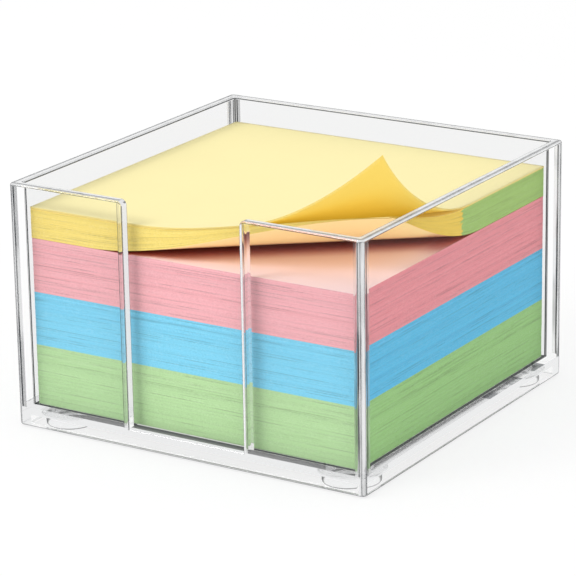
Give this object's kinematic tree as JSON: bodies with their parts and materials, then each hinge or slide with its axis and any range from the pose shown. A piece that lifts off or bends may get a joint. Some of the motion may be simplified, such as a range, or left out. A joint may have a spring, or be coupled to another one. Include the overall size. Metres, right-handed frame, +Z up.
{
  "type": "memo pad holder",
  "caption": "Clear square open-topped box with a finger notch in one wall, holding a stack of coloured note paper with one lifted corner.",
  "frame": {"origin": "on the desk, below the middle of the box", "axes": "+Z up, the notched front wall faces -Y, and the lifted paper corner is at +X -Y"},
  "size_m": [0.097, 0.097, 0.0758],
  "materials": {
    "clear_plastic": "clear moulded polystyrene, polished",
    "clear_foot": "clear soft plastic, polished",
    "green_paper": "uncoated note paper, matt, cut edges",
    "blue_paper": "uncoated note paper, matt, cut edges",
    "pink_paper": "uncoated note paper, matt, cut edges",
    "yellow_paper": "uncoated note paper, matt, cut edges"
  },
  "bodies": {
    "tray": {"tray": "clear_plastic", "foot_front_left": "clear_foot", "foot_front_right": "clear_foot", "foot_back_left": "clear_foot", "foot_back_right": "clear_foot"},
    "green_pack": {"green_paper": "green_paper"},
    "blue_pack": {"blue_paper": "blue_paper"},
    "pink_pack": {"pink_paper": "pink_paper"},
    "yellow_pack": {"yellow_paper": "yellow_paper"},
    "top_sheets": {"yellow_top_sheets": "yellow_paper"}
  },
  "joints": [
    {"name": "green_lift", "type": "slide", "parent": "tray", "child": "green_pack", "axis": [0, 0, 1], "range_m": [0, 0.06]},
    {"name": "blue_lift", "type": "slide", "parent": "green_pack", "child": "blue_pack", "axis": [0, 0, 1], "range_m": [0, 0.045]},
    {"name": "pink_lift", "type": "slide", "parent": "blue_pack", "child": "pink_pack", "axis": [0, 0, 1], "range_m": [0, 0.032]},
    {"name": "yellow_lift", "type": "slide", "parent": "pink_pack", "child": "yellow_pack", "axis": [0, 0, 1], "range_m": [0, 0.03]},
    {"name": "top_sheets_lift", "type": "slide", "parent": "yellow_pack", "child": "top_sheets", "axis": [0, 0, 1], "range_m": [0, 0.03]}
  ]
}
